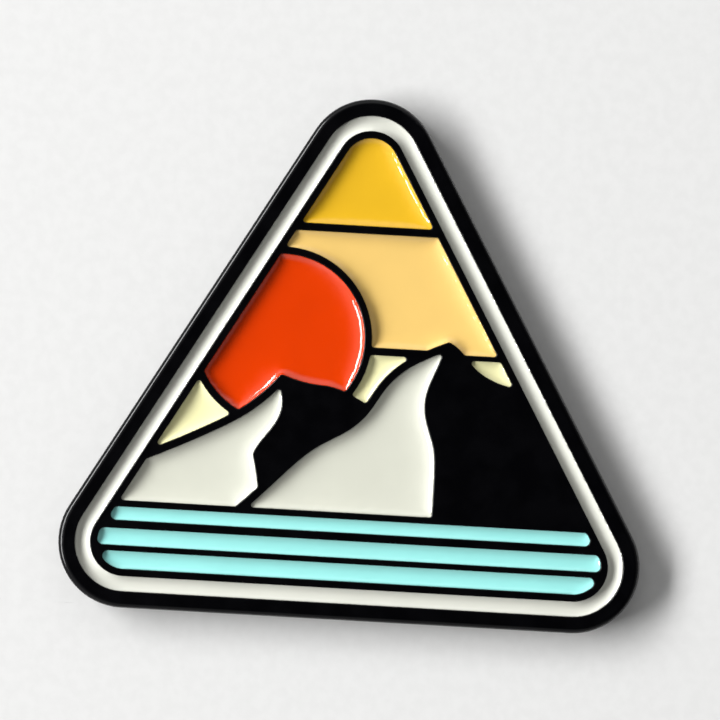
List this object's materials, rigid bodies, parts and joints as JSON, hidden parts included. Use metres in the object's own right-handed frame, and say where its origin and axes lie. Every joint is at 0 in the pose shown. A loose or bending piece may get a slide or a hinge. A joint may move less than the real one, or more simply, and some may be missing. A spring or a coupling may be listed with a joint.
{
  "type": "enamel pin",
  "caption": "Triangular soft-enamel pin with a mountain, sun and water scene, held on fabric by posts and sprung butterfly clutches.",
  "frame": {"origin": "middle of the triangle, on the flat back face", "axes": "+X to the right of someone who looks at the face, +Y out of the back along the posts, +Z to the triangle's top corner"},
  "size_m": [0.032, 0.0096, 0.0287],
  "materials": {
    "black_metal": "black dye plating, satin gloss",
    "enamel_ivory": "glossy soft enamel",
    "enamel_gold": "glossy soft enamel",
    "enamel_peach": "glossy soft enamel",
    "enamel_red": "glossy soft enamel",
    "enamel_cream": "glossy soft enamel",
    "enamel_snow": "glossy soft enamel",
    "enamel_aqua": "glossy soft enamel",
    "post_steel": "plated, polished",
    "solder": "dull",
    "nickel": "bright nickel plating",
    "spring_wire": "drawn wire"
  },
  "bodies": {
    "pin": {"base_plate": "black_metal", "enamel_border": "enamel_ivory", "enamel_top_sky": "enamel_gold", "enamel_mid_sky": "enamel_peach", "enamel_sun": "enamel_red", "enamel_glow_left": "enamel_cream", "enamel_glow_middle": "enamel_cream", "enamel_glow_right": "enamel_cream", "enamel_left_snow": "enamel_snow", "enamel_right_snow": "enamel_snow", "enamel_water_upper": "enamel_aqua", "enamel_water_middle": "enamel_aqua", "enamel_water_lower": "enamel_aqua", "left_post": "post_steel", "left_post_weld": "solder", "right_post": "post_steel", "right_post_weld": "solder"},
    "left_cap": {"left_clutch_cap": "nickel"},
    "left_grip": {"left_clutch_disc": "nickel", "left_clutch_spring": "spring_wire"},
    "left_wing_a": {"left_clutch_wing_a": "nickel"},
    "left_wing_b": {"left_clutch_wing_b": "nickel"},
    "right_cap": {"right_clutch_cap": "nickel"},
    "right_grip": {"right_clutch_disc": "nickel", "right_clutch_spring": "spring_wire"},
    "right_wing_a": {"right_clutch_wing_a": "nickel"},
    "right_wing_b": {"right_clutch_wing_b": "nickel"}
  },
  "joints": [
    {"name": "left_clutch_slide", "type": "slide", "parent": "pin", "child": "left_cap", "axis": [0, 1, 0], "range_m": [-0.002, 0.008]},
    {"name": "left_clutch_spin", "type": "hinge", "parent": "left_cap", "child": "left_grip", "pos_m": [-0.0075, 0.0021, -0.0045], "axis": [0, 1, 0], "continuous": true},
    {"name": "left_wing_a_squeeze", "type": "hinge", "parent": "left_grip", "child": "left_wing_a", "pos_m": [-0.006, 0.00417, -0.0045], "axis": [0, 0, 1], "range_deg": [0, 10], "deforming": ["left_clutch_spring"]},
    {"name": "left_wing_b_squeeze", "type": "hinge", "parent": "left_grip", "child": "left_wing_b", "pos_m": [-0.009, 0.00417, -0.0045], "axis": [0, 0, -1], "range_deg": [0, 10]},
    {"name": "right_clutch_slide", "type": "slide", "parent": "pin", "child": "right_cap", "axis": [0, 1, 0], "range_m": [-0.002, 0.008]},
    {"name": "right_clutch_spin", "type": "hinge", "parent": "right_cap", "child": "right_grip", "pos_m": [0.0075, 0.0021, -0.0045], "axis": [0, 1, 0], "continuous": true},
    {"name": "right_wing_a_squeeze", "type": "hinge", "parent": "right_grip", "child": "right_wing_a", "pos_m": [0.009, 0.00417, -0.0045], "axis": [0, 0, 1], "range_deg": [0, 10], "deforming": ["right_clutch_spring"]},
    {"name": "right_wing_b_squeeze", "type": "hinge", "parent": "right_grip", "child": "right_wing_b", "pos_m": [0.006, 0.00417, -0.0045], "axis": [0, 0, -1], "range_deg": [0, 10]}
  ],
  "couplings": [
    {"joint": "left_wing_b_squeeze", "follows": "left_wing_a_squeeze", "ratio": 1},
    {"joint": "right_wing_b_squeeze", "follows": "right_wing_a_squeeze", "ratio": 1}
  ]
}
